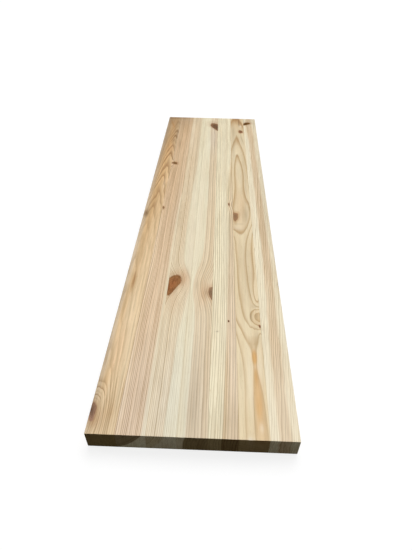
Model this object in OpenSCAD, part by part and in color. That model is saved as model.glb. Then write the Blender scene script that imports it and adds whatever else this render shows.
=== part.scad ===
// Edge-glued pine board: seven straight staves of one width are glued side by side.
// The glued panel is then planed, trimmed to width, cut to length and eased as one board.
// Millimetres. X runs across the staves, Y along the grain, Z up.
// The origin is at the centre of the underside.

/* [Board] */
// Length of the board along the grain
board_length = 1000; // [300:10:2400]
// Thickness of the board after planing
board_thickness = 28; // [18:1:42]

/* [Staves] */
// Width of one stave, from glue line to glue line
stave_width = 36; // [20:0.5:60]
// What is planed off the outer side of each of the two outer staves
edge_trim = 1; // [0.5:0.25:6]

/* [Edges] */
// Radius of the eased arrises along the two long edges
long_arris_radius = 1.5; // [0.5:0.25:4]
// Radius of the eased arrises across the two sawn ends
end_arris_radius = 0.5; // [0.25:0.25:2]
// Radius of the four upright corners where a long edge meets an end
corner_radius = 1; // [0.25:0.25:4]

/* [Hidden] */
NODES = ["stave_1", "stave_2", "stave_3", "stave_4", "stave_5", "stave_6", "stave_7"];
$fn = 48;

stave_count = len(NODES);
stave_colors = ["#cfa674", "#d3b288", "#dcc79c", "#d9c196", "#dfca9b", "#dabd88", "#e0c796"];

// Width of the glued panel, and of the board after trimming
panel_width = stave_count * stave_width;
board_width = panel_width - 2 * edge_trim;
// How far a stave's blank stands proud of the finished board before it is planed and cut to length
planing_allowance = 4;

// The sliver that easing takes off a square corner at the origin, with the material towards +X and +Y
module arris_sliver(radius) {
    difference() {
        square(radius);
        translate([radius, radius]) circle(radius);
    }
}

// A rectangle about the origin with its four corners eased to one radius
module eased_rectangle(size, radius) {
    difference() {
        square(size, center = true);
        for (flip_x = [0, 1], flip_y = [0, 1])
            mirror([flip_x, 0]) mirror([0, flip_y]) translate(-size / 2) arris_sliver(radius);
    }
}

// Section across the grain, carried along the length: the two long edges with their eased arrises
module long_edges() {
    translate([0, 0, board_thickness / 2]) rotate([90, 0, 0])
        linear_extrude(board_length, center = true)
            eased_rectangle([board_width, board_thickness], long_arris_radius);
}

// Section along the grain, carried across the width: the two sawn ends with their eased arrises
module sawn_ends() {
    translate([0, 0, board_thickness / 2]) rotate([90, 0, 90])
        linear_extrude(board_width, center = true)
            eased_rectangle([board_length, board_thickness], end_arris_radius);
}

// Plan of the board, carried up through its thickness: the four upright corners
module upright_corners() {
    linear_extrude(board_thickness)
        eased_rectangle([board_width, board_length], corner_radius);
}

// The finished outline that the glued panel is planed, trimmed, cut and eased to
module finished_outline() {
    intersection() {
        long_edges();
        sawn_ends();
        upright_corners();
    }
}

// The rough blank of one stave at its place in the glued panel, over length and over thickness
module stave_blank(index) {
    left_side = index * stave_width - panel_width / 2;
    translate([left_side, -board_length / 2 - planing_allowance, -planing_allowance])
        cube([stave_width, board_length + 2 * planing_allowance, board_thickness + 2 * planing_allowance]);
}

// One stave of the finished board, counted from 0 at the left edge
module stave(index) {
    color(stave_colors[index])
        intersection() {
            finished_outline();
            stave_blank(index);
        }
}

module stave_1() { stave(0); }
module stave_2() { stave(1); }
module stave_3() { stave(2); }
module stave_4() { stave(3); }
module stave_5() { stave(4); }
module stave_6() { stave(5); }
module stave_7() { stave(6); }

stave_1();
stave_2();
stave_3();
stave_4();
stave_5();
stave_6();
stave_7();
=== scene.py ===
import math

import bpy
import numpy as np
from mathutils import Matrix, Vector


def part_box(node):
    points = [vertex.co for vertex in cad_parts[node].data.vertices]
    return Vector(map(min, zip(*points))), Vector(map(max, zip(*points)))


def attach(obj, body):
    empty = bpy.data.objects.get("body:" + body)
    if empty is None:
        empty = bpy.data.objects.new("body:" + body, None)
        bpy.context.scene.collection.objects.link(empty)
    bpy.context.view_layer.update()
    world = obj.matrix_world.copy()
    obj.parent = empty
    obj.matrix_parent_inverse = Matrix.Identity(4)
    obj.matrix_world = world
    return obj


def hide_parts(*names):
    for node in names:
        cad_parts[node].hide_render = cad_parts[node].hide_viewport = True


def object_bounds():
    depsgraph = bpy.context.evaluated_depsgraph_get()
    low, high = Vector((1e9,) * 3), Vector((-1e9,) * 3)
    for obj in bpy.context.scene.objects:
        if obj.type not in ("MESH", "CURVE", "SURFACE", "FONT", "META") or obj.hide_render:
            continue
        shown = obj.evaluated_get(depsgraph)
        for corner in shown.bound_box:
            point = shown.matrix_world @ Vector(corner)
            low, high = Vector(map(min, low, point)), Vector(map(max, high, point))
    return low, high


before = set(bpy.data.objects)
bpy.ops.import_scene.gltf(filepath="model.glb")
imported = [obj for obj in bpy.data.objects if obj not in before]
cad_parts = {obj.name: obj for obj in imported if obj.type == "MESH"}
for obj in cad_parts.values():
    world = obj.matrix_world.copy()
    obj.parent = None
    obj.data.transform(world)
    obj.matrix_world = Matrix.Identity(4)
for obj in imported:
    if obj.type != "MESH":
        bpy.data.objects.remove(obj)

# x runs across the staves, y along the grain, z up; sizes are in mm and become metres in the mesh
mm = 0.001
cadBox = [list(corner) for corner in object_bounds()]
lowCorner = np.array(cadBox[0]) / mm
boardWidth, boardLength, boardThick = np.array(cadBox[1]) / mm - lowCorner
print("board from the frame:", round(boardWidth), "x", round(boardLength), "x", round(boardThick), "mm")

# how the whole board was eased, and how wide a glue seam shows
boardFinish = {
    "longArris": 1.5,
    "endArris": 0.5,
    "uprightCorner": 1.0,
    "seamWidth": 0.5,
}

# spacing of the skin's points, finer at the details; each past value is how far beyond one that goes
skinDetail = {
    "across": 1.1,
    "along": 5.5,
    "alongTraced": 3.0,
    "through": 1.6,
    "atArris": 0.25,
    "atEndArris": 0.12,
    "acrossKnot": 0.65,
    "alongKnot": 1.1,
    "alongSwell": 2.6,
    "markShare": 0.25,
    "pastArris": 1.3,
    "pastEndArris": 1.6,
    "pastKnot": 1.2,
    "pastAlong": 1.3,
    "pastMark": 2,
    "knotTips": 0.4,  # share of a knot's half width that its ends round out by
    "probes": 20001,
    "sharpAngle": 35,
}


def crowdedLine(low, high, step, crowds):
    # points from low to high: the spacing is step, drawn in to a finer one around each crowd's middle
    probe = np.linspace(low, high, skinDetail["probes"])
    perMm = np.full_like(probe, 1 / step)
    for middle, reach, fine in crowds:
        perMm = np.maximum(perMm, np.exp(-((probe - middle) / reach) ** 4) / fine)
    count = np.concatenate([[0], np.cumsum((perMm[1:] + perMm[:-1]) / 2 * np.diff(probe))])
    return np.interp(np.linspace(0, count[-1], math.ceil(count[-1]) + 1), count, probe)


def knotMiddle(knot):
    # halfway from head to tip
    return [(head + tip) / 2 for head, tip in zip(knot["head"], knot["tip"])]


def skinLines(stave, left, right, outerLeft, outerRight):
    # lattice lines across, along and through a stave, crowded at arrises, knots, swells and dents
    longReach = skinDetail["pastArris"] * boardFinish["longArris"]
    endReach = skinDetail["pastEndArris"] * boardFinish["endArris"]
    sideReach = {True: longReach, False: boardFinish["seamWidth"]}
    rowReach = longReach if outerLeft or outerRight else endReach
    columnCrowds = [(left, sideReach[outerLeft], skinDetail["atArris"]),
                    (right, sideReach[outerRight], skinDetail["atArris"])]
    stationCrowds = [(end, endReach, skinDetail["atEndArris"]) for end in (0, boardLength)]
    rowCrowds = [(flat, rowReach, skinDetail["atArris"]) for flat in (0, boardThick)]
    for knot in stave["knots"]:
        middle = knotMiddle(knot)
        halfSpan = abs(knot["tip"][1] - knot["head"][1]) / 2 + knot["half"] * skinDetail["knotTips"]
        columnCrowds.append((middle[0], skinDetail["pastKnot"] * knot["half"], skinDetail["acrossKnot"]))
        stationCrowds.append((boardLength - middle[1], skinDetail["pastAlong"] * halfSpan,
                              skinDetail["alongKnot"]))
    for swell in stave["swells"]:
        stationCrowds.append((boardLength - swell["at"][1], skinDetail["pastAlong"] * swell["reach"][1],
                              skinDetail["alongSwell"]))
    for mark in stave["marks"]:
        wide, long = mark["reach"]
        columnCrowds.append((mark["at"][0], skinDetail["pastMark"] * wide, skinDetail["markShare"] * wide))
        stationCrowds.append((boardLength - mark["at"][1], skinDetail["pastMark"] * long,
                              skinDetail["markShare"] * long))
    alongStep = skinDetail["alongTraced" if stave["ringLines"] else "along"]
    return (crowdedLine(left, right, skinDetail["across"], columnCrowds),
            crowdedLine(0, boardLength, alongStep, stationCrowds),
            crowdedLine(0, boardThick, skinDetail["through"], rowCrowds))


def easeEdges(first, firstFaces, second, secondFaces, radius):
    # square corner to round: with p and q the shares of the corner square that a point has crossed,
    # p shrinks by sqrt(1 - q^2 / 2) and q by sqrt(1 - p^2 / 2), which lays the outer sides on one arc
    for firstFace, firstIn in firstFaces:
        for secondFace, secondIn in secondFaces:
            p = np.clip(1 - (first - firstFace) * firstIn / radius, 0, 1)
            q = np.clip(1 - (second - secondFace) * secondIn / radius, 0, 1)
            first = first + firstIn * radius * p * (1 - np.sqrt(1 - q * q / 2))
            second = second + secondIn * radius * q * (1 - np.sqrt(1 - p * p / 2))
    return first, second


# how growth rings, knots, stains and relief lie in the wood, in mm unless noted
grainShape = {
    "wanderReach": (70, 420, 70),
    "rippleReach": (16, 60, 16),
    "waveSpread": (0.5, 1.5),  # waves to a reach, from and to
    "unevenTurns": (0.9, 2.3),  # radians a ring of the slow and the quick change in ring width
    "quickShare": 0.5,
    "leastAside": 0.1,  # keeps the spacing finite right over the pith
    "ringSqueeze": 6.0,  # traced rings are worked out on a plan this much shorter
    "leastSquare": 1e-9,  # keeps the spline's log finite at its own points
    "steepestBranch": 1.2,  # sideways run of a branch for each mm of depth
    "knotTaperEnd": 1.2,  # the taper stops this far out, in half lengths
    "knotLobes": (0.06, 0.04),  # three and five lobes round a knot's outline
    "noKnot": 4.0,
    "spotDepth": 9.0,  # tint spots, painted light and shade among them, fade out this far below the top
    "markDepth": (4, 1),
    "lateRise": (0.45, 0.9),  # shares of a ring
    "lateFall": (0.95, 1.0),
    "reliefSpacing": (3, 6),
    "reliefPastKnot": (0.9, 1.3),  # shares of a knot's outline
}


def wander(place, reach, seed, cosines=7):
    # smooth wander of about -1 to 1: a mean of cosines with seeded lengths, leans and starts
    dice = np.random.default_rng(seed)
    total = np.zeros_like(place[0])
    for _ in range(cosines):
        waves = dice.uniform(*grainShape["waveSpread"], 3) * dice.choice((-1, 1), 3) / np.array(reach)
        phase = sum(wave * axis for wave, axis in zip(waves, place))
        total += np.cos(2 * math.pi * phase + dice.uniform(0, 2 * math.pi))
    return total / math.sqrt(2 * cosines)


def softStep(value, low, high):
    # smooth step from 0 at low to 1 at high
    share = np.clip((value - low) / (high - low), 0, 1)
    return share * share * (3 - 2 * share)


def throughPoints(places, values, at):
    # the lowest polynomial that passes through all the given points
    return np.polyval(np.polyfit(np.array(places) / boardLength, values, len(places) - 1), at / boardLength)


def pithAt(stave, fromFar):
    # the tree's heart line: a smooth curve through a few points along the stave
    places, across, up = zip(*stave["pithPath"])
    return throughPoints(places, across, fromFar), throughPoints(places, up, fromFar)


def easedThrough(points, at):
    # from each given point to the next, the value eases over along a smooth step
    places, values = np.array(points, float).T
    last = np.clip(np.searchsorted(places, at, side="right"), 1, len(places) - 1)
    first = last - 1
    share = softStep(at, places[first], places[last])
    return values[first] + (values[last] - values[first]) * share


def branchSlide(stave, at, depth):
    # a branch runs straight out from the pith, so its place slides sideways along that line with depth
    pithAcross, pithUp = pithAt(stave, at[1])
    steepest = grainShape["steepestBranch"]
    return depth * np.clip((at[0] - pithAcross) / (pithUp - boardThick), -steepest, steepest)


def knotShare(knot, fromLeft, fromFar):
    # drop between head and tip: 1 on its outline and less inside, its width shrinking from head to tip
    head = np.array(knot["head"], float)
    tip = np.array(knot["tip"], float)
    halfLength = np.linalg.norm(tip - head) / 2
    axis = (tip - head) / (2 * halfLength)
    sideways = fromLeft - (head[0] + tip[0]) / 2
    lengthways = fromFar - (head[1] + tip[1]) / 2
    along = (sideways * axis[0] + lengthways * axis[1]) / halfLength
    taperEnd = grainShape["knotTaperEnd"]
    narrowing = 1 - knot["taper"] * np.clip(along, -taperEnd, taperEnd)
    across = (lengthways * axis[0] - sideways * axis[1]) / (knot["half"] * narrowing)
    turn = np.arctan2(across, along)
    three, five = grainShape["knotLobes"]
    ragged = 1 + three * np.cos(3 * turn + head[0]) + five * np.cos(5 * turn + head[1])
    return np.hypot(along, across) / ragged


def softSpot(spot, fromLeft, fromFar):
    # soft oval: 1 in the middle, falling as a bell over its reach, sheared sideways by its lean;
    # an edge above 1 gives it a flatter top and a firmer edge
    lengthways = fromFar - spot["at"][1]
    sideways = fromLeft - spot["at"][0] - spot.get("lean", 0) * lengthways
    square = (sideways / spot["reach"][0]) ** 2 + (lengthways / spot["reach"][1]) ** 2
    return np.exp(-square ** spot.get("edge", 1))


def tracedRings(ringLines, fromLeft, fromFar):
    # thin-plate spline through the points of the traced ring lines: a plane plus, for each point,
    # a weight times d^2 log d, with d its distance on a plan that is squeezed along the grain
    squeeze = np.array([1, grainShape["ringSqueeze"]])
    points = np.array([point for _, line in ringLines for point in line]) / squeeze
    numbers = [number for number, line in ringLines for _ in line]

    def pull(across, along):
        square = across ** 2 + along ** 2
        return square * np.log(square + grainShape["leastSquare"])

    plane = np.column_stack([np.ones(len(points)), points])
    gaps = points[:, None] - points[None]
    system = np.block([[pull(gaps[..., 0], gaps[..., 1]), plane], [plane.T, np.zeros((3, 3))]])
    *weights, level, slope, fall = np.linalg.solve(system, np.concatenate([numbers, np.zeros(3)]))
    squeezed = fromFar / squeeze[1]
    ring = level + slope * fromLeft + fall * squeezed
    for weight, (across, along) in zip(weights, points):
        ring += weight * pull(fromLeft - across, squeezed - along)
    return ring


def archLine(apex, legs):
    # one ring line of a row of arches: the legs' offsets laid off from its apex
    return [(apex[0] + aside, apex[1] + ahead) for aside, ahead in legs]


def lateWood(ring):
    # growth profile over one ring: pale at its start, darkening slowly, then a sharp end
    share = ring - np.floor(ring)
    return softStep(share, *grainShape["lateRise"]) * (1 - softStep(share, *grainShape["lateFall"]))


def ringField(stave, fromLeft, fromFar, up):
    # distance from the pith, plus a slow wander, less the swell that each branch pushes into the rings;
    # the ring number is that distance over the ring width, or the traced rings carried down through the wood
    place = (fromLeft, fromFar, up)
    pithAcross, pithUp = pithAt(stave, fromFar)
    radius = np.hypot(fromLeft - pithAcross, up - pithUp)
    spacing = stave["ringWidth"] * radius / (np.abs(fromLeft - pithAcross) + grainShape["leastAside"])
    radius += stave["wander"] * wander(place, grainShape["wanderReach"], stave["seed"])
    radius += stave["ripple"] * wander(place, grainShape["rippleReach"], stave["seed"] + 1)
    for swell in stave["swells"]:
        slid = fromLeft - branchSlide(stave, swell["at"], boardThick - up)
        radius -= swell["rise"] * softSpot(swell, slid, fromFar)
    if stave["ringLines"]:
        topRadius = np.hypot(fromLeft - pithAcross, boardThick - pithUp)
        ring = tracedRings(stave["ringLines"], fromLeft, fromFar) + (radius - topRadius) / stave["ringWidth"]
    else:
        drift = stave["ringLean"] * fromFar
        ring = (radius + drift) / stave["ringWidth"] + stave["ringStart"]
        slow, quick = grainShape["unevenTurns"]
        ring += stave["uneven"] * (np.sin(slow * ring + stave["seed"])
                                   + grainShape["quickShare"] * np.sin(quick * ring))
    return radius, ring, spacing


def knotField(stave, fromLeft, fromFar, depth):
    # at each point the share, shade and halo of the knot whose outline is nearest
    edge = np.full_like(depth, grainShape["noKnot"])
    shade = np.zeros_like(depth)
    halo = np.zeros_like(depth)
    for knot in stave["knots"]:
        share = knotShare(knot, fromLeft - branchSlide(stave, knotMiddle(knot), depth), fromFar)
        nearest = share < edge
        edge = np.where(nearest, share, edge)
        shade = np.where(nearest, knot["shade"], shade)
        halo = np.where(nearest, knot["halo"], halo)
    return {"knotEdge": edge, "knotShade": shade, "knotHalo": halo}


def grainField(stave, fromLeft, fromFar, up):
    # all that the wood's look needs at each point: rings, heartwood by distance from the pith, knots,
    # tint spots that fade with depth (discolouring, painted bluish light, the pin hole's painted shade), and
    # how far relief and dents sink the skin
    depth = boardThick - up
    radius, ring, spacing = ringField(stave, fromLeft, fromFar, up)
    field = {"ring": ring, "lines": easedThrough(stave["lineStrength"], fromFar)}
    bandRadius, bandTone = np.array(stave["heartBands"], float).T
    field["tone"] = np.interp(radius - easedThrough(stave["heartShift"], fromFar), bandRadius, bandTone)
    field.update(knotField(stave, fromLeft, fromFar, depth))

    fade = np.exp(-depth / grainShape["spotDepth"])
    for tint in (*spotTints, "pale"):
        field[tint] = np.zeros_like(radius)
        for spot in stave["spotsByTint"].get(tint, []):
            field[tint] += spot["amount"] * softSpot(spot, fromLeft, fromFar) * fade

    sink = stave["ridge"] * (1 - lateWood(ring)) * softStep(spacing, *grainShape["reliefSpacing"])
    sink *= softStep(field["knotEdge"], *grainShape["reliefPastKnot"])
    onTop = softStep(depth, *grainShape["markDepth"])
    for mark in stave["marks"]:
        sink += mark["sink"] * softSpot(mark, fromLeft, fromFar) * onTop
    return field, sink


def staveSkin(columns, stations, rows):
    # closed skin of a lattice block: the section's rim carried along the stations, and a grid over each end
    lastColumn = len(columns) - 1
    lastRow = len(rows) - 1
    rimColumn = np.concatenate([np.arange(lastColumn), np.full(lastRow, lastColumn),
                                np.arange(lastColumn, 0, -1), np.zeros(lastRow, int)])
    rimRow = np.concatenate([np.zeros(lastColumn, int), np.arange(lastRow),
                             np.full(lastColumn, lastRow), np.arange(lastRow, 0, -1)])
    rimCount = len(rimColumn)
    stationCount = len(stations)
    skinCount = rimCount * stationCount

    station, rim = np.meshgrid(np.arange(stationCount - 1), np.arange(rimCount), indexing="ij")
    ahead = (rim + 1) % rimCount
    sides = np.stack([station * rimCount + rim, (station + 1) * rimCount + rim,
                      (station + 1) * rimCount + ahead, station * rimCount + ahead], axis=-1).reshape(-1, 4)

    innerColumn, innerRow = np.meshgrid(np.arange(1, lastColumn), np.arange(1, lastRow), indexing="ij")
    innerCount = innerColumn.size
    ends = []
    for firstRim, firstInner, order in (
        (0, skinCount, (0, 1, 2, 3)),
        (skinCount - rimCount, skinCount + innerCount, (0, 3, 2, 1)),
    ):
        grid = np.zeros((lastColumn + 1, lastRow + 1), int)
        grid[rimColumn, rimRow] = firstRim + np.arange(rimCount)
        grid[1:-1, 1:-1] = firstInner + np.arange(innerCount).reshape(innerColumn.shape)
        quads = np.stack([grid[:-1, :-1], grid[1:, :-1], grid[1:, 1:], grid[:-1, 1:]], axis=-1)
        ends.append(quads.reshape(-1, 4)[:, order])

    across = [np.tile(columns[rimColumn], stationCount)] + [columns[innerColumn.ravel()]] * 2
    up = [np.tile(rows[rimRow], stationCount)] + [rows[innerRow.ravel()]] * 2
    along = [np.repeat(stations, rimCount), np.full(innerCount, stations[0]),
             np.full(innerCount, stations[-1])]
    points = [np.concatenate(axis) for axis in (across, along, up)]
    return points, np.concatenate([sides] + ends), (rimColumn, rimRow)


# shares of the bake map: the long skin below, the two sawn ends side by side above it
bakeLayout = {
    "mapName": "OFBake",
    "skinTop": 0.865,
    "endsBottom": 0.885,
    "margin": 0.006,
    "topWeight": 1.7,
    "undersideWeight": 1.1,
    "edgeWeight": 1.4,
    "glueWeight": 0.35,
}


def bakePlaces(columns, stations, rows, rimColumn, rimRow, outerLeft, outerRight):
    # map places for every face corner: the rim unrolled by weighted lengths against the stations,
    # and each end laid flat in its own half of the strip above
    rimAcross = columns[rimColumn]
    rimUp = rows[rimRow]
    lengths = np.hypot(np.roll(rimAcross, -1) - rimAcross, np.roll(rimUp, -1) - rimUp)
    turns = np.cumsum([len(columns) - 1, len(rows) - 1, len(columns) - 1, len(rows) - 1])
    weights = [bakeLayout["undersideWeight"],
               bakeLayout["edgeWeight" if outerRight else "glueWeight"],
               bakeLayout["topWeight"],
               bakeLayout["edgeWeight" if outerLeft else "glueWeight"]]
    lengths = lengths * np.array(weights)[np.searchsorted(turns, np.arange(len(lengths)), side="right")]
    margin = bakeLayout["margin"]
    unrolled = np.concatenate([[0], np.cumsum(lengths)])
    unrolled = margin + unrolled / unrolled[-1] * (1 - 2 * margin)
    lengthways = (stations - stations[0]) / (stations[-1] - stations[0])
    lengthways = margin + lengthways * (bakeLayout["skinTop"] - margin)

    station, rim = np.meshgrid(np.arange(len(stations) - 1), np.arange(len(lengths)), indexing="ij")
    sides = np.stack([
        np.stack([unrolled[rim + aside], lengthways[station + ahead]], axis=-1)
        for aside, ahead in ((0, 0), (0, 1), (1, 1), (1, 0))
    ], axis=2).reshape(-1, 2)

    columnShare = (columns - columns[0]) / (columns[-1] - columns[0]) * (0.5 - 2 * margin) + margin
    rowShare = (rows - rows[0]) / (rows[-1] - rows[0])
    rowShare = bakeLayout["endsBottom"] + rowShare * (1 - margin - bakeLayout["endsBottom"])
    column, row = np.meshgrid(np.arange(len(columns) - 1), np.arange(len(rows) - 1), indexing="ij")
    ends = []
    for start, corners in ((0, ((0, 0), (1, 0), (1, 1), (0, 1))), (0.5, ((0, 0), (0, 1), (1, 1), (1, 0)))):
        ends.append(np.stack([
            np.stack([start + columnShare[column + aside], rowShare[row + above]], axis=-1)
            for aside, above in corners
        ], axis=2).reshape(-1, 2))
    return np.concatenate([sides] + ends)


def fillMesh(name, points, faces):
    # point and quad arrays put into a mesh whole, smooth but for the sharp edges
    mesh = bpy.data.meshes.new(name)
    mesh.vertices.add(len(points))
    mesh.vertices.foreach_set("co", (points * mm).ravel().astype(np.float32))
    mesh.loops.add(faces.size)
    mesh.loops.foreach_set("vertex_index", faces.ravel().astype(np.int32))
    mesh.polygons.add(len(faces))
    mesh.polygons.foreach_set("loop_start", np.arange(0, faces.size, 4, dtype=np.int32))
    mesh.polygons.foreach_set("loop_total", np.full(len(faces), 4, dtype=np.int32))
    mesh.polygons.foreach_set("use_smooth", np.ones(len(faces), dtype=bool))
    mesh.update(calc_edges=True)
    mesh.validate()
    mesh.set_sharp_from_angle(angle=math.radians(skinDetail["sharpAngle"]))
    return mesh


def makeStave(stave):
    # a box of lattice points between the node's corners, its outer edges eased, its skin sunk by the relief
    low, high = [np.array(corner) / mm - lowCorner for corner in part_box(stave["node"])]
    left, right = low[0], high[0]
    seamWidth = boardFinish["seamWidth"]
    outerLeft = left < seamWidth
    outerRight = right > boardWidth - seamWidth
    columns, stations, rows = skinLines(stave, left, right, outerLeft, outerRight)
    (across, along, up), faces, rim = staveSkin(columns, stations, rows)

    # which faces a point lies on, before the edges are eased
    outAcross = (across == right) * float(outerRight) - (across == left) * float(outerLeft)
    outUp = (up == boardThick) * 1.0 - (up == 0) * 1.0
    onSkin = np.maximum(np.abs(outAcross), np.abs(outUp))
    endGrain = ((along == 0) | (along == boardLength)) * 1.0
    fromLeftSeam = boardWidth if outerLeft else across - left
    fromRightSeam = boardWidth if outerRight else right - across
    seam = np.clip(1 - np.minimum(fromLeftSeam, fromRightSeam) / seamWidth, 0, 1)

    sides = [(0.0, 1.0)] * bool(outerLeft) + [(boardWidth, -1.0)] * bool(outerRight)
    ends = [(0.0, 1.0), (boardLength, -1.0)]
    flats = [(0.0, 1.0), (boardThick, -1.0)]
    along, up = easeEdges(along, ends, up, flats, boardFinish["endArris"])
    across, up = easeEdges(across, sides, up, flats, boardFinish["longArris"])
    across, along = easeEdges(across, sides, along, ends, boardFinish["uprightCorner"])

    field, sink = grainField(stave, across, boardLength - along, up)
    across = across - sink * onSkin * outAcross
    up = up - sink * onSkin * outUp
    points = np.stack([across, along, up], axis=-1) + lowCorner

    mesh = fillMesh(stave["name"], points, faces)
    field.update({"endGrain": endGrain, "seam": seam})
    for name, values in field.items():
        layer = mesh.attributes.new(name, "FLOAT", "POINT")
        layer.data.foreach_set("value", values.astype(np.float32))
    bakeMap = mesh.uv_layers.new(name=bakeLayout["mapName"])
    places = bakePlaces(columns, stations, rows, *rim, outerLeft, outerRight)
    bakeMap.uv.foreach_set("vector", places.ravel().astype(np.float32))

    piece = bpy.data.objects.new(stave["name"], mesh)
    bpy.context.collection.objects.link(piece)
    mesh.materials.append(pineMaterial(stave))
    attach(piece, "root")
    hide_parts(stave["node"])
    print(stave["name"], "made:", len(points), "points,", 2 * len(faces), "triangles")


# the finish that all the staves share
pineFinish = {
    "reach": {  # mm across, along and through
        "fibre": (0.35, 16, 0.35), "fleck": (0.7, 9, 0.7), "streak": (2.4, 55, 2.4), "mottle": (13, 170, 13),
        "ringWobble": (6, 70, 6), "knotRagged": (2.2, 5, 2.2), "knotBlotch": (4.5, 13, 4.5),
        "sawMark": (1.1, 40, 14),
    },
    "tint": {  # the wood's colour is multiplied by these
        # the grey-brown tint darkens discolouring, and also paints shade into the pin hole
        "amber": (0.80, 0.62, 0.42), "honey": (0.90, 0.58, 0.26), "smokeAndShade": (0.42, 0.36, 0.30),
        # the bluish tint in this row is painted light: places that looked lit by colder light
        "blush": (0.93, 0.80, 0.72), "coolLight": (0.94, 0.98, 1.10), "halo": (0.66, 0.45, 0.30),
        "year": (0.86, 0.80, 0.72), "mottle": (0.90, 0.86, 0.80), "fibre": (0.86, 0.82, 0.77),
        "fleck": (0.72, 0.58, 0.42), "seam": (0.72, 0.62, 0.50), "knotRing": (0.70, 0.62, 0.55),
        "knotBlotch": (0.55, 0.46, 0.38), "sawMark": (0.74, 0.70, 0.64),
    },
    "share": {  # a pattern's value from and to, then how much of it shows from and to
        "patchy": (0.3, 0.7, -0.12, 0.12), "yearHeart": (0.0, 1.0, 0.35, 1.0),
        "mottle": (0.35, 0.7, 0.0, 0.5), "fibre": (0.4, 0.75, 0.0, 0.6),
        "streak": (0.3, 0.7, 0.0, 1.0), "fleck": (0.64, 0.72, 0.0, 0.5),
        "knotRagged": (0.25, 0.75, -0.05, 0.05), "halo": (0.9, 1.9, 1.0, 0.0),
        "knotRing": (0.3, 0.9, 0.0, 0.55), "knotRim": (0.1, 1.0, 0.0, 1.0),
        "knotBlotch": (0.42, 0.62, 0.0, 0.7), "insideKnot": (0.9, 1.06, 1.0, 0.0),
        "sawMark": (0.4, 0.7, 0.0, 0.7), "roughness": (0.0, 1.0, 0.68, 0.56),
    },
    # darkness over one ring: its start, its palest place, the slow rise, its darkest place and its end
    "ringStart": 0.3, "ringPale": (0.06, 0.0), "riseLevel": 0.1, "midLevel": 0.55, "riseEnd": 0.98,
    "ringDark": (0.93, 1.0), "ringEnd": 0.55,
    "wobbleSpan": (0.25, 0.75), "yearSpan": (0.4, 0.75), "yearPace": 0.45, "yearDetail": 1.5,
    "streakShares": (0.9, 1.0, 1.2),  # a streak darkens red least and blue most
    "paleWood": (242, 228, 204), "knotRings": 4.5, "seamShare": 0.6,
    "noiseRoughness": 0.55, "fineDetail": 3.0, "endRoughness": 0.25, "specular": 0.03,
    "lateHeight": 0.5, "fibreHeight": 0.5, "sawHeight": 2.0, "bumpStrength": 0.35, "bumpHeight": 0.12,
}
# tints of the soft spots; the bluish one is painted light
spotTints = ("amber", "honey", "smokeAndShade", "blush", "coolLight")


def linearColour(rgb):
    # screen value to linear light, by the usual two-part curve
    shares = np.array(rgb, float) / 255
    linear = np.where(shares <= 0.04045, shares / 12.92, ((shares + 0.055) / 1.055) ** 2.4)
    return (*linear.tolist(), 1.0)


def addNode(tree, kind, settings, sockets):
    # a node with its settings; a socket takes a link where it is given one, and else a value
    node = tree.nodes.new("ShaderNode" + kind)
    for name, value in settings.items():
        setattr(node, name, value)
    for name, value in sockets.items():
        if isinstance(value, bpy.types.NodeSocket):
            tree.links.new(value, node.inputs[name])
        else:
            node.inputs[name].default_value = value
    return node


def maths(tree, operation, first, second=0.0):
    # one operation on two values
    return addNode(tree, "Math", {"operation": operation}, {0: first, 1: second}).outputs[0]


def product(tree, first, second):
    # first times second
    return maths(tree, "MULTIPLY", first, second)


def remap(tree, value, low, high, toLow, toHigh):
    # smooth step from toLow at low to toHigh at high
    sockets = {"Value": value, "From Min": low, "From Max": high, "To Min": toLow, "To Max": toHigh}
    return addNode(tree, "MapRange", {"interpolation_type": "SMOOTHSTEP"}, sockets).outputs[0]


def mixColour(tree, mode, share, first, second):
    # the first colour, mixed with or multiplied by the second for the given share
    settings = {"data_type": "RGBA", "blend_type": mode}
    return addNode(tree, "Mix", settings, {0: share, 6: first, 7: second}).outputs[2]


def attribute(tree, name):
    # a value stored on the stave's points
    return addNode(tree, "Attribute", {"attribute_name": name}, {}).outputs["Fac"]


def woodNoise(tree, pattern, detail=2.0):
    # noise on object coordinates, stretched to the pattern's reach across, along and through
    place = addNode(tree, "TexCoord", {}, {}).outputs["Object"]
    scale = [1 / (size * mm) for size in pineFinish["reach"][pattern]]
    stretched = addNode(tree, "Mapping", {}, {"Vector": place, "Scale": scale}).outputs[0]
    sockets = {"Vector": stretched, "Scale": 1.0, "Detail": detail, "Roughness": pineFinish["noiseRoughness"]}
    return addNode(tree, "TexNoise", {}, sockets).outputs[0]


def shown(tree, value, pattern):
    # how much of a pattern shows at a value, by its row of shares
    return remap(tree, value, *pineFinish["share"][pattern])


def tinted(tree, wood, share, pattern):
    # the wood multiplied by a pattern's tint for the given share
    return mixColour(tree, "MULTIPLY", share, wood, (*pineFinish["tint"][pattern], 1))


def grey(level):
    # one level for all three colours
    return (level, level, level, 1)


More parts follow.
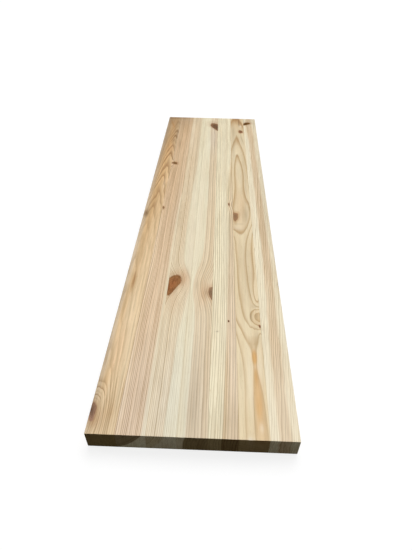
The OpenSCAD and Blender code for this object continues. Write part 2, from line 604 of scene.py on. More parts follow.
def growthRings(tree, stave):
    # ring number with a little wobble; over each ring a slow rise to latewood and a sharp end,
    # times a strength of that ring's own
    wobble = remap(tree, woodNoise(tree, "ringWobble"), *pineFinish["wobbleSpan"],
                   -stave["wobble"], stave["wobble"])
    ring = maths(tree, "ADD", attribute(tree, "ring"), wobble)
    profile = addNode(tree, "ValToRGB", {}, {"Fac": maths(tree, "FRACT", ring)})
    stops = profile.color_ramp.elements
    stops[0].color = grey(pineFinish["ringStart"])
    stops[1].color = grey(pineFinish["ringEnd"])
    rise = stave["lateStart"]
    middle = (rise + pineFinish["riseEnd"]) / 2
    for position, level in (pineFinish["ringPale"], (rise, pineFinish["riseLevel"]),
                            (middle, pineFinish["midLevel"]), pineFinish["ringDark"]):
        stops.new(position).color = grey(level)
    dice = addNode(tree, "TexWhiteNoise", {"noise_dimensions": "1D"}, {"W": maths(tree, "FLOOR", ring)})
    strength = remap(tree, dice.outputs["Value"], 0.0, 1.0, 1 - stave["ringChange"], 1.0)
    return ring, product(tree, profile.outputs[0], product(tree, strength, attribute(tree, "lines")))


def plainWood(tree, stave, ring, late, fibre):
    # sapwood mixed to heartwood and early to late, then darker years, mottle, fibres, streaks and flecks
    mottle = woodNoise(tree, "mottle", pineFinish["fineDetail"])
    tone = addNode(tree, "Math", {"operation": "ADD", "use_clamp": True},
                   {0: attribute(tree, "tone"), 1: shown(tree, mottle, "patchy")}).outputs[0]
    early = mixColour(tree, "MIX", tone, linearColour(stave["sapEarly"]), linearColour(stave["heartEarly"]))
    dark = mixColour(tree, "MIX", tone, linearColour(stave["sapLate"]), linearColour(stave["heartLate"]))
    wood = mixColour(tree, "MIX", late, early, dark)
    pace = product(tree, ring, pineFinish["yearPace"])
    years = addNode(tree, "TexNoise", {"noise_dimensions": "1D"},
                    {"W": pace, "Scale": 1.0, "Detail": pineFinish["yearDetail"]}).outputs[0]
    years = remap(tree, years, *pineFinish["yearSpan"], 0.0, stave["yearBands"])
    wood = tinted(tree, wood, product(tree, years, shown(tree, tone, "yearHeart")), "year")
    wood = tinted(tree, wood, shown(tree, mottle, "mottle"), "mottle")
    wood = tinted(tree, wood, shown(tree, fibre, "fibre"), "fibre")
    darker = [1 - stave["streaks"] * share for share in pineFinish["streakShares"]]
    streak = mixColour(tree, "MIX", shown(tree, woodNoise(tree, "streak"), "streak"),
                       grey(1 + stave["streaks"]), (*darker, 1))
    wood = mixColour(tree, "MULTIPLY", 1.0, wood, streak)
    return tinted(tree, wood, shown(tree, woodNoise(tree, "fleck"), "fleck"), "fleck")


def spottedWood(tree, wood):
    # multiplied by each spot's tint, for discolouring, painted bluish light and the pin hole's painted shade,
    # then mixed with pale wood
    for tint in spotTints:
        wood = tinted(tree, wood, maths(tree, "MINIMUM", attribute(tree, tint), 1.0), tint)
    bleached = maths(tree, "MINIMUM", attribute(tree, "pale"), 1.0)
    return mixColour(tree, "MIX", bleached, wood, linearColour(pineFinish["paleWood"]))


def knottedWood(tree, stave, wood):
    # a red-brown halo outside each knot's ragged outline; inside, heart to rim with fine rings and blotches
    ragged = shown(tree, woodNoise(tree, "knotRagged", pineFinish["fineDetail"]), "knotRagged")
    edge = maths(tree, "ADD", attribute(tree, "knotEdge"), ragged)
    wood = tinted(tree, wood, product(tree, shown(tree, edge, "halo"), attribute(tree, "knotHalo")), "halo")
    knot = mixColour(tree, "MIX", shown(tree, edge, "knotRim"),
                     linearColour(stave["knotHeart"]), linearColour(stave["knotRim"]))
    rings = maths(tree, "FRACT", product(tree, edge, pineFinish["knotRings"]))
    knot = tinted(tree, knot, shown(tree, rings, "knotRing"), "knotRing")
    blotch = woodNoise(tree, "knotBlotch", pineFinish["fineDetail"])
    knot = tinted(tree, knot, shown(tree, blotch, "knotBlotch"), "knotBlotch")
    inside = product(tree, shown(tree, edge, "insideKnot"), attribute(tree, "knotShade"))
    return mixColour(tree, "MIX", inside, wood, knot)


def sawnWood(tree, stave, wood, endGrain, saw):
    # glue seams, then on the ends the stave's end tint, darker end grain plus painted shade, and darker saw
    # marks
    wood = tinted(tree, wood, product(tree, attribute(tree, "seam"), pineFinish["seamShare"]), "seam")
    # both sawn ends darkened: end grain plus painted shade
    endTintAndShade = mixColour(tree, "MIX", attribute(tree, "tone"), (*stave["sapEndAndShade"], 1), (*stave["heartEndAndShade"], 1))
    wood = mixColour(tree, "MULTIPLY", endGrain, wood, endTintAndShade)
    return tinted(tree, wood, product(tree, shown(tree, saw, "sawMark"), endGrain), "sawMark")


def pineMaterial(stave):
    # plain wood, stains, knots and sawn ends in turn; smoother late wood, and a bump of late wood, fibres
    # and saw marks
    material = bpy.data.materials.new("pine_" + stave["slot"])
    material.use_nodes = True
    tree = material.node_tree
    tree.nodes.clear()
    fibre = woodNoise(tree, "fibre")
    saw = woodNoise(tree, "sawMark", pineFinish["fineDetail"])
    endGrain = attribute(tree, "endGrain")
    ring, late = growthRings(tree, stave)
    wood = plainWood(tree, stave, ring, late, fibre)
    wood = knottedWood(tree, stave, spottedWood(tree, wood))
    wood = sawnWood(tree, stave, wood, endGrain, saw)

    rough = maths(tree, "ADD", shown(tree, late, "roughness"),
                  product(tree, endGrain, pineFinish["endRoughness"]))
    height = maths(tree, "ADD", product(tree, late, pineFinish["lateHeight"]),
                   product(tree, fibre, pineFinish["fibreHeight"]))
    height = maths(tree, "ADD", height,
                   product(tree, product(tree, saw, endGrain), pineFinish["sawHeight"]))
    bump = addNode(tree, "Bump", {}, {"Strength": pineFinish["bumpStrength"],
                                      "Distance": pineFinish["bumpHeight"] * mm, "Height": height})
    shader = addNode(tree, "BsdfPrincipled", {}, {
        "Base Color": wood,
        "Roughness": rough,
        "Specular IOR Level": pineFinish["specular"],
        "Normal": bump.outputs[0],
    })
    addNode(tree, "OutputMaterial", {}, {"Surface": shader.outputs[0]})
    return material


def tintSpot(at, reach, amount, lean=0, edge=1):
    # one soft spot of a tint, used for discolouring and for painted light and shade: its middle, its reach
    # across and along, how much of its tint it carries, and its shape
    return {"at": at, "reach": reach, "amount": amount, "lean": lean, "edge": edge}


# places below are (mm from the left edge, mm from the far end), and heights are above the underside
# pithPath is the tree's heart line: (mm from the far end, mm from the left edge, height)
# heartBands are (mm from the pith, share of heartwood)
# heartShift and lineStrength change along the stave: (mm from the far end, mm or strength)
# ringLines are (ring number, places on that ring), as drawn on the top
# colours are screen values, but for the two end tints, which multiply the wood on both sawn ends: the end
# grain's own darker colour plus painted shade

# what a stave has where its own dictionary says nothing else
usualStave = {
    "ringStart": 0.0, "ringLean": 0.0, "uneven": 0.2, "lateStart": 0.4, "heartShift": [(0, 0), (1000, 0)],
    "ringLines": [], "swells": [], "marks": [],
}

# left-hand stave: orange heartwood with arches along its far half and a knot in its near corner
archLegs = [(-23, 180), (-18, 110), (-13, 60), (-7, 28), (0, 0), (5, 21), (9.5, 50), (14, 92)]
archTops = [(30, 10), (30, 40), (31, 70), (31, 104), (30, 137), (28.5, 165), (28, 210), (27, 258),
            (24.5, 322), (21, 372), (21, 438)]
orangeStave = {
    **usualStave,
    "name": "stave_orange", "node": "stave_1", "slot": "orange_heartwood", "seed": 11,
    "pithPath": [(0, 31, 100), (300, 25, 88), (600, 9, 78), (1000, -8, 74)],
    "ringWidth": 1.75, "ringChange": 0.6,
    "lineStrength": [(0, 0.35), (70, 0.5), (120, 1.0), (440, 0.95), (560, 0.4), (900, 0.35), (945, 0.85),
                     (1000, 0.85)],
    "streaks": 0.1, "wander": 0.3, "ripple": 0.15, "wobble": 0.07, "yearBands": 0.35, "ridge": 0.05,
    "heartBands": [(0, 1), (200, 1)],
    "ringLines": [(number, archLine(apex, archLegs)) for number, apex in enumerate(archTops)] + [
        (9.45, [(14, 447), (8, 477), (26, 438)]),
        (11, [(1, 590), (7, 540), (14, 505), (20, 525), (25, 560), (30, 630), (32.5, 720), (33, 800),
              (33, 900), (33.5, 950), (34, 1000)]),
        (12, [(0, 640), (5, 590), (10, 562), (16, 585), (22, 640), (27, 710), (29, 790), (29.5, 880),
              (30.5, 940), (31.5, 1000)]),
        (13, [(0, 690), (4, 640), (8, 620), (14, 650), (19, 700), (23, 770), (25, 850), (26, 920),
              (27.8, 960), (28.5, 1000)]),
        (14, [(0, 745), (4, 695), (7, 682), (12, 715), (16, 765), (19.5, 830), (21.5, 890), (23.2, 930),
              (25.2, 962), (25.8, 1000)]),
        (15, [(0, 815), (4, 770), (8, 790), (12.5, 840), (16, 885), (19, 920), (22.3, 955), (23.2, 1000)]),
        (16, [(0, 892), (5, 878), (10, 894), (15, 920), (19, 947), (20.8, 975), (20.9, 1000)]),
        (17, [(0, 928), (6, 928), (11, 934), (15.5, 950), (18.4, 973), (18.5, 1000)]),
        (18, [(0, 938), (7, 939), (12, 947), (15.4, 965), (16.2, 982), (15.8, 1000)]),
        (19, [(0, 944), (6, 945), (10.5, 952), (13.5, 967), (14.1, 982), (13.2, 1000)]),
        (20, [(0, 949), (6, 950), (9.7, 957), (11.8, 968), (12.2, 982), (10.8, 996)]),
        (21, [(0, 953), (5, 954), (8.5, 960), (10, 970), (10, 982), (8, 992)]),
    ],
    "knots": [
        {"head": (0.5, 958), "tip": (4.5, 984), "half": 5.2, "taper": 0.15, "shade": 0.82, "halo": 0.35},
    ],
    "spotsByTint": {
        "amber": [
            tintSpot((19, 200), (13, 330), 0.82), tintSpot((12, 560), (9, 230), 0.4),
            tintSpot((31, 480), (6, 330), 0.25), tintSpot((8, 800), (4, 60), 0.35),
            tintSpot((10, 918), (5, 22), 0.4), tintSpot((24, 970), (6, 14), 0.25),
            tintSpot((20, 600), (10, 140), 0.12),
        ],
        "honey": [
            tintSpot((13.5, 733), (2.8, 22), 0.5),  # short brown mark
            tintSpot((14.5, 52), (2.5, 34), 0.4, lean=0.24),  # slanting streak in the far corner
        ],
        "smokeAndShade": [
            tintSpot((20, 20), (30, 50), 0.46), tintSpot((16, 90), (34, 100), 0.25),
            tintSpot((3, 170), (7, 250), 0.4), tintSpot((30, 140), (9, 110), 0.3),
            tintSpot((14, 610), (18, 160), 0.17), tintSpot((0, 800), (6, 200), 0.32),
            tintSpot((11, 100), (7, 110), 0.12),
            tintSpot((5, 527), (5, 14), 0.85),  # dark patch on the left edge
            tintSpot((13.5, 733), (2.4, 20), 0.5),  # short brown mark
            tintSpot((6, 240), (9, 190), 0.12), tintSpot((25, 281), (6, 30), 0.14),
            tintSpot((22, 465), (4, 25), 0.15), tintSpot((4, 400), (5, 40), 0.13), tintSpot((28, 910), (4, 80), 0.2),
            tintSpot((4, 920), (6, 70), 0.28), tintSpot((9, 250), (4, 220), 0.1), tintSpot((34, 130), (3, 100), 0.2),
            tintSpot((14, 980), (22, 28), 0.3),
            tintSpot((20, 0), (60, 5), 0.3),  # darker far edge
            tintSpot((18, 10), (30, 7), 0.3), tintSpot((29, 108), (4.5, 9), 0.2), tintSpot((29, 139), (4, 8), 0.18),
            tintSpot((27, 168), (4, 14), 0.2), tintSpot((26, 257), (3, 6), 0.25),
        ],
        "blush": [
            tintSpot((26, 215), (9, 30), 0.5), tintSpot((17, 870), (7, 45), 0.5), tintSpot((10, 980), (7, 14), 0.6),
        ],
        # painted light: a bluer, greyer strip along the left edge
        "coolLight": [tintSpot((2, 400), (5, 700), 1.0, edge=2)],
        "pale": [tintSpot((28, 406), (3, 25), 0.2)],
    },
    "sapEarly": (240, 219, 183), "sapLate": (176, 141, 102),
    "heartEarly": (240, 219, 184), "heartLate": (176, 141, 102),
    "sapEndAndShade": (0.29, 0.26, 0.165), "heartEndAndShade": (0.29, 0.26, 0.165),
    "knotHeart": (112, 83, 71), "knotRim": (162, 125, 105),
}

# plain tan heartwood with fine straight lines, and a strip of sapwood along its right side
tanStave = {
    **usualStave,
    "name": "stave_tan", "node": "stave_2", "slot": "tan_heartwood", "seed": 17,
    "pithPath": [(0, 0, 70)],
    "ringWidth": 1.7, "ringStart": 0.3, "ringChange": 0.7,
    "lineStrength": [(0, 1.1), (300, 1.3), (650, 1.25), (850, 1.15), (1000, 1.2)],
    "streaks": 0.06, "wander": 0.9, "ripple": 0.15, "wobble": 0.12, "yearBands": 0.38, "ridge": 0.04,
    "heartBands": [(77.6, 1), (79.2, 0)], "heartShift": [(0, 8), (380, 7), (480, 1), (1000, 0)],
    "swells": [
        {"at": (42, 301), "reach": (9, 26), "rise": 5},
        {"at": (37, 505), "reach": (4, 16), "rise": 1.2},
    ],
    "knots": [
        {"head": (37, 296), "tip": (48, 306), "half": 5.5, "taper": 0.1, "shade": 0.85, "halo": 0.6},
        {"head": (37, 499), "tip": (38.5, 511), "half": 1.7, "taper": 0.3, "shade": 0.8, "halo": 0.5},
    ],
    "spotsByTint": {
        "amber": [
            tintSpot((55, 150), (22, 300), 0.34), tintSpot((44, 400), (15, 330), 0.2),
            tintSpot((55, 60), (18, 60), 0.12),
        ],
        "smokeAndShade": [
            tintSpot((52, 20), (26, 50), 0.3), tintSpot((45, 40), (18, 90), 0.15),
            tintSpot((52, 150), (20, 300), 0.08), tintSpot((62, 500), (14, 110), 0.08),
            tintSpot((53, 890), (2.5, 70), 0.15), tintSpot((66, 900), (3, 90), 0.08),
            tintSpot((50, 0), (60, 5), 0.3), tintSpot((42, 10), (18, 7), 0.2), tintSpot((37, 130), (4, 120), 0.15),
            tintSpot((45.5, 190), (2, 18), 0.3, lean=0.1), tintSpot((48.5, 137), (1.6, 14), 0.2, lean=0.1),
        ],
        "blush": [tintSpot((52, 800), (16, 380), 0.3)],
        # painted light: bluer towards the near end
        "coolLight": [tintSpot((52, 980), (26, 120), 0.7)],
    },
    "sapEarly": (244, 235, 210), "sapLate": (218, 203, 171),
    "heartEarly": (241, 220, 190), "heartLate": (158, 126, 93),
    "sapEndAndShade": (0.79, 0.79, 0.72), "heartEndAndShade": (0.36, 0.34, 0.26),
    "knotHeart": (106, 76, 42), "knotRim": (146, 110, 68),
}

# tan along its left side, cream to the right, with the big drop-shaped knot cut by the left glue line
creamStave = {
    **usualStave,
    "name": "stave_cream", "node": "stave_3", "slot": "cream_sapwood", "seed": 23,
    "pithPath": [(0, 30, 44.3)],
    "ringWidth": 2.1, "ringChange": 0.45,
    "lineStrength": [(0, 1), (400, 1.3), (560, 1.5), (650, 1.2), (850, 0.9), (1000, 1)],
    "streaks": 0.06, "wander": 0.7, "ripple": 0.15, "wobble": 0.1, "yearBands": 0.4, "ridge": 0.03,
    "heartBands": [(62.3, 1), (63.9, 0)],
    "heartShift": [(0, 6), (280, 6), (430, 1.5), (575, -1.4), (690, 0.5), (785, 8), (870, 3.5), (1000, 0)],
    "swells": [
        {"at": (80, 729), "reach": (40, 34), "rise": 18},
        {"at": (88, 780), "reach": (40, 40), "rise": 2},
    ],
    "knots": [
        {"head": (83, 713), "tip": (71.5, 764), "half": 11, "taper": 0.4, "shade": 0.95, "halo": 0.4},
    ],
    "spotsByTint": {
        "smokeAndShade": [
            tintSpot((95, 738), (0.8, 13), 0.3), tintSpot((91.5, 724), (0.8, 10), 0.3, lean=0.1),
            tintSpot((102.5, 712), (1.3, 15), 0.3, lean=0.25), tintSpot((92, 200), (4, 200), 0.13),
            tintSpot((82, 15), (14, 40), 0.2),
        ],
        "blush": [
            tintSpot((97, 722), (10, 28), 0.8),  # rosy hood round the big knot
            tintSpot((84, 775), (10, 30), 0.5), tintSpot((84, 300), (10, 420), 0.3),
        ],
        # painted light: bluer towards the near end
        "coolLight": [tintSpot((90, 960), (30, 120), 0.6)],
        "pale": [
            tintSpot((98, 500), (5, 170), 0.25), tintSpot((78, 160), (4, 80), 0.2),
            tintSpot((103, 781), (3, 30), 0.2), tintSpot((71.5, 650), (2, 90), 0.3),
            tintSpot((104, 640), (8, 110), 0.35),
        ],
    },
    "sapEarly": (240, 233, 207), "sapLate": (211, 199, 168),
    "heartEarly": (240, 226, 197), "heartLate": (182, 157, 122),
    "sapEndAndShade": (0.76, 0.735, 0.68), "heartEndAndShade": (0.69, 0.68, 0.585),
    "knotHeart": (164, 104, 60), "knotRim": (150, 104, 62),
}

# cream along its left side, rosy to the right, with two knots cut by the right glue line
rosyStave = {
    **usualStave,
    "name": "stave_rosy", "node": "stave_4", "slot": "rosy_heartwood", "seed": 37,
    "pithPath": [(0, 190, 5)],
    "ringWidth": 3.4, "ringStart": 0.4, "ringChange": 0.45,
    "lineStrength": [(0, 0.7), (300, 0.6), (600, 0.5), (800, 0.55), (1000, 0.55)],
    "streaks": 0.04, "wander": 0.7, "ripple": 0.12, "wobble": 0.08, "yearBands": 0.55, "ridge": 0.03,
    "heartBands": [(75.8, 1), (77.3, 0)],
    "heartShift": [(0, -7), (280, -8), (430, -9.5), (600, -8), (800, -1), (1000, 0.5)],
    "swells": [
        {"at": (141, 60), "reach": (16, 46), "rise": 5},
        {"at": (138, 735), "reach": (34, 42), "rise": 14},
    ],
    "knots": [
        {"head": (130, 41), "tip": (147, 98), "half": 12, "taper": 0.55, "shade": 0.92, "halo": 0.35},
        {"head": (140, 741), "tip": (143.5, 773), "half": 4.6, "taper": 0.25, "shade": 0.72, "halo": 0.4},
    ],
    "spotsByTint": {
        "smokeAndShade": [
            tintSpot((133, 755), (5, 12), 0.3), tintSpot((124, 960), (12, 60), 0.2),
            tintSpot((129, 300), (4, 240), 0.14), tintSpot((117, 738), (3, 14), 0.22),
            tintSpot((122, 900), (5, 80), 0.12), tintSpot((131, 370), (5, 60), 0.12),
            tintSpot((123, 970), (6, 30), 0.1),
        ],
        "blush": [tintSpot((130, 757), (9, 28), 0.8)],
        # painted light: bluer by the far knot and towards the near end
        "coolLight": [tintSpot((133, 140), (10, 90), 0.8), tintSpot((126, 950), (26, 130), 0.5)],
        "pale": [tintSpot((112, 500), (8, 250), 0.25)],
    },
    "sapEarly": (239, 231, 204), "sapLate": (205, 191, 158),
    "heartEarly": (238, 221, 191), "heartLate": (154, 127, 95),
    "sapEndAndShade": (0.71, 0.67, 0.60), "heartEndAndShade": (0.31, 0.27, 0.175),
    "knotHeart": (96, 62, 35), "knotRim": (138, 97, 64),
}

# pale and straight-grained, rosy along its right side towards the near end
straightStave = {
    **usualStave,
    "name": "stave_straight", "node": "stave_5", "slot": "pale_straight_grain", "seed": 41,
    "pithPath": [(0, 262, 10), (450, 262, 10), (750, 262, 10), (1000, 257, 10)],
    "ringWidth": 3.2, "ringStart": 0.1, "ringChange": 0.45, "lateStart": 0.52,
    "lineStrength": [(0, 1.4), (400, 1.3), (700, 1.3), (850, 0.95), (1000, 0.75)],
    "streaks": 0.07, "wander": 0.8, "ripple": 0.12, "wobble": 0.06, "yearBands": 0.7, "ridge": 0.03,
    "heartBands": [(100.5, 1), (102.5, 0)],
    "heartShift": [(0, -17.5), (360, -14.6), (500, -8.5), (1000, -3)],
    "swells": [
        {"at": (173, 485), "reach": (6, 22), "rise": 4},
    ],
    "knots": [
        {"head": (170.5, 479), "tip": (171.5, 491), "half": 1.6, "taper": 0.2, "shade": 0.85, "halo": 0.6},
        # tiny dark knot: painted shade filling the pin hole
        {"head": (168, 812.8), "tip": (168, 817.2), "half": 1.2, "taper": 0.1, "shade": 1.0, "halo": 0.3},
    ],
    "spotsByTint": {
        "amber": [tintSpot((174.5, 370), (4, 110), 0.45, lean=-0.045), tintSpot((175, 560), (5, 110), 0.2)],
        "smokeAndShade": [
            tintSpot((172.5, 405), (1.2, 75), 0.35, lean=-0.05), tintSpot((177, 531), (3, 25), 0.15),
            tintSpot((156, 20), (8, 25), 0.12), tintSpot((154, 215), (4, 30), 0.1),
            tintSpot((171, 600), (0.9, 80), 0.3, lean=-0.012), tintSpot((174, 580), (5, 110), 0.18),
            tintSpot((160, 985), (24, 35), 0.22),
            tintSpot((168, 815), (0.9, 0.9), 1.0),  # painted shade in the pin hole
            tintSpot((151.5, 836), (1.8, 1.4), 0.6),  # dent
        ],
        "blush": [tintSpot((172, 880), (9, 200), 0.35)],
        # painted light: bluer along the right side towards the near end
        "coolLight": [tintSpot((174, 880), (9, 200), 0.6)],
        "pale": [
            tintSpot((162, 180), (7, 150), 0.12), tintSpot((164, 620), (5, 200), 0.12),
            tintSpot((148, 790), (5, 70), 0.15),
        ],
    },
    "marks": [
        {"at": (168, 815), "reach": (0.7, 0.7), "sink": 0.9},  # pin hole
        {"at": (151.5, 836), "reach": (1.6, 1.2), "sink": 0.12},  # dent
    ],
    "sapEarly": (248, 240, 213), "sapLate": (186, 169, 132),
    "heartEarly": (243, 227, 197), "heartLate": (160, 132, 99),
    "sapEndAndShade": (0.36, 0.30, 0.197), "heartEndAndShade": (0.225, 0.18, 0.103),
    "knotHeart": (106, 74, 48), "knotRim": (140, 106, 76),
}

# flat-sawn stave with long arches that close towards both ends, three knots and an amber streak
figuredStave = {
    **usualStave,
    "name": "stave_figured", "node": "stave_6", "slot": "amber_figure", "seed": 53,
    "pithPath": [(0, 191, 64), (500, 193, 48), (1000, 204, 62)],
    "ringWidth": 5.1, "ringChange": 0.2, "lateStart": 0.6,
    "lineStrength": [(0, 0.95), (800, 0.85), (900, 0.5), (1000, 0.4)],
    "streaks": 0.03, "wander": 0.2, "ripple": 0.03, "wobble": 0.012, "yearBands": 0.3, "ridge": 0.06,
    "heartBands": [(10.0, 0.6), (40.0, 0.6)],
    "ringLines": [
        (-0.35, [(214, 805)]),
        (0, [(214, 794), (210, 796), (207, 801), (206.7, 806), (208.7, 811.5), (214, 815.5)]),
        (0.45, [(195, 320), (194.5, 400), (195, 470), (195, 530)]),
        (1, [(193, 247), (188, 275), (185, 315), (184.3, 365), (183.5, 410), (181.5, 445), (179, 480),
             (176.5, 530), (178, 575), (184, 583), (192, 591), (199, 584), (205.5, 566), (210.5, 543),
             (213.5, 515), (212.5, 482), (208.5, 460), (205.5, 425), (205.2, 395), (206, 360),
             (204, 318), (199, 275)]),
        (1, [(214, 787.5), (210, 788), (206, 789.5), (202.5, 793), (200.3, 798), (199.7, 804.5),
             (200.5, 811), (202.7, 815.5), (206, 819), (209.8, 821.5), (214, 823.5)]),
        (1.5, [(191, 640), (191.5, 720), (193, 780)]),
        (2, [(193.5, 122), (188.5, 145), (184, 173), (180, 200), (175, 260), (171, 360), (169, 480),
             (173, 570), (179, 600), (181.5, 640), (182.8, 695), (183.6, 744), (186.7, 780), (188.9, 798),
             (192.2, 812), (197, 821.5), (202.5, 827), (208, 829.5), (214, 830.5)]),
        (2, [(199, 150), (203, 185), (207.5, 213), (210.5, 240), (213, 268), (216.5, 340), (219, 440),
             (219, 510), (215, 558), (209, 582), (204.3, 605), (201.5, 632), (200, 668), (201, 713),
             (202.7, 746), (204.7, 764), (207.3, 775), (210.5, 780.5), (214, 782)]),
        (2.5, [(193, 60), (205, 90)]),
        (2.6, [(203, 882), (203, 896), (204, 930), (205, 965), (206, 1000)]),
        (2.9, [(193, 8)]),
        (3, [(215.5, 585), (213, 615), (211.8, 665), (212.3, 715), (215, 750)]),
        (3, [(179, 812), (186.5, 834), (192, 851), (196.5, 863), (199, 872), (200, 885), (200.5, 896),
             (199.8, 910), (199, 930), (198, 960), (198, 1000)]),
        (3, [(213.5, 838), (210, 854), (207.5, 864), (206.3, 873), (205.8, 885), (205.3, 896), (207, 912),
             (210, 932), (212, 957), (214, 990)]),
        (4, [(176, 822), (179, 842), (182, 860), (184.5, 874), (186.5, 892), (187.6, 912), (187.8, 935),
             (187.3, 960), (187, 1000)]),
    ],
    "knots": [
        {"head": (205, 87), "tip": (205.8, 109), "half": 6, "taper": 0.1, "shade": 0.9, "halo": 0.35},
        {"head": (181.5, 514), "tip": (183.5, 546), "half": 6.6, "taper": 0.25, "shade": 0.68, "halo": 0.55},
        {"head": (213, 820), "tip": (214, 827), "half": 1.4, "taper": 0.1, "shade": 0.9, "halo": 0.4},
    ],
    "spotsByTint": {
        "amber": [
            tintSpot((208.5, 985), (4.5, 34), 0.4), tintSpot((200, 720), (6, 40), 0.12),
            tintSpot((197.5, 155), (4, 18), 0.35), tintSpot((196, 10), (22, 60), 0.45),
            tintSpot((212, 806), (6, 14), 0.5),  # eye at the right seam
        ],
        "honey": [
            tintSpot((202.8, 880), (3.8, 13), 0.75, edge=2),  # amber streak, head to foot
            tintSpot((203, 906), (2.6, 16), 0.45), tintSpot((204.5, 938), (5.8, 34), 0.52, edge=2),
            tintSpot((203, 978), (6, 28), 0.35),
        ],
        "smokeAndShade": [
            tintSpot((198, 970), (0.8, 34), 0.3), tintSpot((190, 105), (9, 40), 0.2),
            tintSpot((193, 160), (7, 60), 0.1), tintSpot((184, 190), (5, 140), 0.36),
            tintSpot((206, 330), (7, 220), 0.2), tintSpot((181, 540), (4, 60), 0.12),
            tintSpot((205, 145), (6, 40), 0.22), tintSpot((194, 345), (6, 40), 0.12),
            tintSpot((209, 400), (4, 80), 0.12), tintSpot((203, 720), (4, 80), 0.13),
            tintSpot((209, 844), (4, 20), 0.25), tintSpot((184, 906), (4, 30), 0.14),
            tintSpot((185, 90), (5, 30), 0.12), tintSpot((203.5, 935), (5, 50), 0.1),
            tintSpot((195, 700), (12, 110), 0.18), tintSpot((210, 782), (6, 5), 0.25),
            tintSpot((197, 0), (17, 5), 0.3), tintSpot((209, 157), (1.3, 30), 0.3, lean=0.12),
            tintSpot((193, 251), (4.5, 9), 0.25), tintSpot((212.3, 496), (1.8, 14), 0.35),
            tintSpot((210.5, 803), (3, 6), 0.35), tintSpot((201.5, 803), (1.6, 9), 0.3),
            tintSpot((202.5, 34), (2, 30), 0.55, edge=2), tintSpot((196, 20), (20, 50), 0.15),
            tintSpot((202, 522), (8, 32), 0.28), tintSpot((206, 525), (2, 20), 0.15),
            tintSpot((190, 556), (9, 2), 0.25), tintSpot((211.5, 473), (1.4, 10), 0.3, lean=0.08),
        ],
        "blush": [tintSpot((196, 500), (10, 60), 0.6)],
        "pale": [
            tintSpot((195, 915), (2.6, 40), 0.45), tintSpot((209.5, 900), (3, 26), 0.35),
            tintSpot((209, 710), (2, 40), 0.15), tintSpot((206.3, 60), (3, 8), 0.6),
            tintSpot((189, 569), (9, 8), 0.35), tintSpot((206, 985), (2.5, 6), 0.5),
            tintSpot((192, 1000), (3, 4), 0.8),  # chip at the near end
        ],
    },
    "marks": [
        {"at": (192, 1000), "reach": (2.6, 2.2), "sink": 0.5},  # chip at the near end
    ],
    "sapEarly": (243, 231, 200), "sapLate": (200, 167, 120),
    "heartEarly": (236, 218, 183), "heartLate": (186, 149, 103),
    "sapEndAndShade": (0.36, 0.30, 0.20), "heartEndAndShade": (0.345, 0.295, 0.195),
    "knotHeart": (116, 72, 45), "knotRim": (156, 108, 72),
}

# right-hand stave: cream, then a brown band, then straw to the eased edge
strawStave = {
    **usualStave,
    "name": "stave_straw", "node": "stave_7", "slot": "straw_sapwood", "seed": 67,
    "pithPath": [(0, 330, 20)],
    "ringWidth": 3.2, "ringLean": -0.08, "ringChange": 0.5,
    "lineStrength": [(0, 0.7), (300, 0.7), (420, 0.95), (800, 0.9), (1000, 0.85)],
    "streaks": 0.05, "wander": 0.8, "ripple": 0.6, "wobble": 0.1, "yearBands": 0.4, "ridge": 0.03,
    "heartBands": [(78, 0.0), (89, 0.15), (92.5, 1), (102.5, 1), (106, 0)],
    "heartShift": [(0, 1), (250, 0.5), (350, -1.5), (540, -0.3), (640, -3), (740, -1.3), (850, 0.5),
                   (1000, 0.5)],
    "swells": [
        {"at": (224, 39), "reach": (14, 28), "rise": 5},
    ],
    "knots": [
        {"head": (233, 29), "tip": (213.5, 49), "half": 7.4, "taper": 0.15, "shade": 1.0, "halo": 0.5},
    ],
    "spotsByTint": {
        "amber": [tintSpot((238, 200), (10, 260), 0.08), tintSpot((223, 80), (5, 45), 0.35)],
        "smokeAndShade": [
            tintSpot((249.5, 730), (2, 6), 0.5),  # knock on the right edge
            tintSpot((236, 420), (7, 320), 0.1), tintSpot((229, 110), (5, 140), 0.1),
            tintSpot((222, 200), (5, 230), 0.1), tintSpot((240, 15), (20, 45), 0.3),
            tintSpot((234, 970), (4, 30), 0.15), tintSpot((247, 850), (3, 50), 0.1),
            tintSpot((216, 25), (3, 30), 0.32), tintSpot((249, 270), (7, 270), 0.3),
            tintSpot((244, 520), (6, 120), 0.14),
        ],
        "pale": [tintSpot((232, 960), (24, 90), 0.3)],
    },
    "marks": [
        {"at": (250, 730), "reach": (1.6, 3.5), "sink": 0.25},  # knock on the right edge
    ],
    "sapEarly": (246, 237, 212), "sapLate": (212, 197, 165),
    "heartEarly": (233, 213, 182), "heartLate": (180, 151, 116),
    "sapEndAndShade": (0.71, 0.71, 0.64), "heartEndAndShade": (0.655, 0.63, 0.555),
    "knotHeart": (98, 66, 26), "knotRim": (128, 93, 46),
}

for stave in (orangeStave, tanStave, creamStave, rosyStave, straightStave, figuredStave, strawStave):
    makeStave(stave)

# pale floor: white to the camera and to gloss, with the board's shadow; dimmer as a bounce onto the ends
floorLook = {"size": 14.0, "gap": 0.0002, "lit": 0.22, "glow": 0.82, "bounce": 0.13}  # metres, then levels


def seenDirectly(tree):
    # 1 for what the camera, a reflection or clear glass sees, 0 for light that bounces
    path = addNode(tree, "LightPath", {}, {}).outputs
    seen = maths(tree, "MAXIMUM", path["Is Camera Ray"], path["Is Glossy Ray"])
    return maths(tree, "MAXIMUM", seen, path["Is Transmission Ray"])


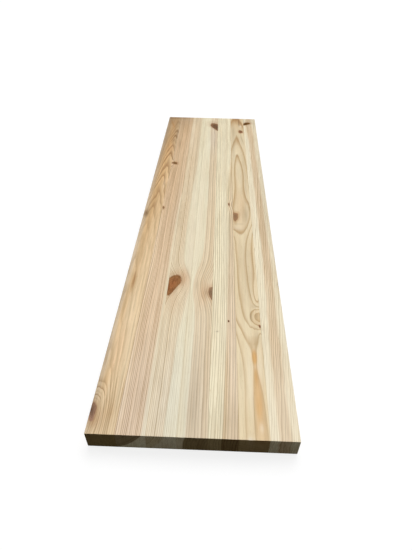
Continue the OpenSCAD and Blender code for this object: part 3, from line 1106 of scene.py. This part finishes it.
def makeFloor():
    # one flat square face, its middle a hair under the board
    half = floorLook["size"] / 2
    height = cadBox[0][2] - floorLook["gap"]
    corners = np.array([[-1, -1, 0], [1, -1, 0], [1, 1, 0], [-1, 1, 0]], float) * half + [0, 0, height]
    mesh = bpy.data.meshes.new("floor")
    mesh.from_pydata(corners.tolist(), [], [(0, 1, 2, 3)])
    floor = bpy.data.objects.new("floor", mesh)
    bpy.context.collection.objects.link(floor)
    material = bpy.data.materials.new("floor_white")
    material.use_nodes = True
    tree = material.node_tree
    tree.nodes.clear()
    seen = seenDirectly(tree)
    shade = mixColour(tree, "MIX", seen, grey(floorLook["bounce"]), grey(floorLook["lit"]))
    paint = addNode(tree, "BsdfDiffuse", {}, {"Color": shade})
    glow = addNode(tree, "Emission", {}, {"Strength": product(tree, seen, floorLook["glow"])})
    both = addNode(tree, "AddShader", {}, {0: paint.outputs[0], 1: glow.outputs[0]})
    addNode(tree, "OutputMaterial", {}, {"Surface": both.outputs[0]})
    mesh.materials.append(material)
    print("floor laid")


makeFloor()

# soft light from above and behind, so the near end stands in shade; weak side lamps and the sky fill in
studioLight = {
    "lamps": {
        "soft_key": {"strength": 2.28, "softness": 50, "from": (0.12, 0.62, 0.9)},
        "left_side": {"strength": 0.85, "softness": 25, "from": (-0.93, 0.26, 0.28)},
        "right_side": {"strength": 0.85, "softness": 25, "from": (0.93, 0.26, 0.28)},
    },
    "skyFill": 0.25,
}


def makeLight():
    # a wide sun from each lamp's direction, and a sky that is white where it is seen and weak as a fill
    for name, look in studioLight["lamps"].items():
        lamp = bpy.data.lights.new(name, "SUN")
        lamp.energy = look["strength"]
        lamp.angle = math.radians(look["softness"])
        holder = bpy.data.objects.new(name, lamp)
        holder.rotation_euler = Vector(look["from"]).to_track_quat("Z", "Y").to_euler()
        bpy.context.collection.objects.link(holder)
    world = bpy.data.worlds.new("studio")
    world.use_nodes = True
    tree = world.node_tree
    tree.nodes.clear()
    level = remap(tree, seenDirectly(tree), 0.0, 1.0, studioLight["skyFill"], 1.0)
    sky = addNode(tree, "Background", {}, {"Color": grey(1), "Strength": level})
    addNode(tree, "OutputWorld", {}, {"Surface": sky.outputs[0]})
    bpy.context.scene.world = world
    print("lights set")


makeLight()

# the photo's camera: where it stands and looks, its roll in degrees, its lens and the film's long side, in mm
photoCamera = {
    "place": (17.9, -747.1, 485.3),
    "target": (6.2, -211.7, 28.0),
    "roll": 1.08,
    "lens": 27.7,
    "film": 36,
}


def makeCamera():
    # stands at its place, looks straight at the target, then rolls about that line
    lens = bpy.data.cameras.new("photo_camera")
    lens.lens = photoCamera["lens"]
    lens.sensor_width = photoCamera["film"]
    camera = bpy.data.objects.new("photo_camera", lens)
    place = Vector(photoCamera["place"]) * mm
    toward = Vector(photoCamera["target"]) * mm - place
    roll = Matrix.Rotation(math.radians(photoCamera["roll"]), 3, "Z")
    turn = toward.to_track_quat("-Z", "Y").to_matrix() @ roll
    camera.matrix_world = Matrix.Translation(place) @ turn.to_4x4()
    bpy.context.collection.objects.link(camera)
    bpy.context.scene.camera = camera
    bpy.context.scene.view_settings.view_transform = "Standard"
    print("camera placed")


makeCamera()
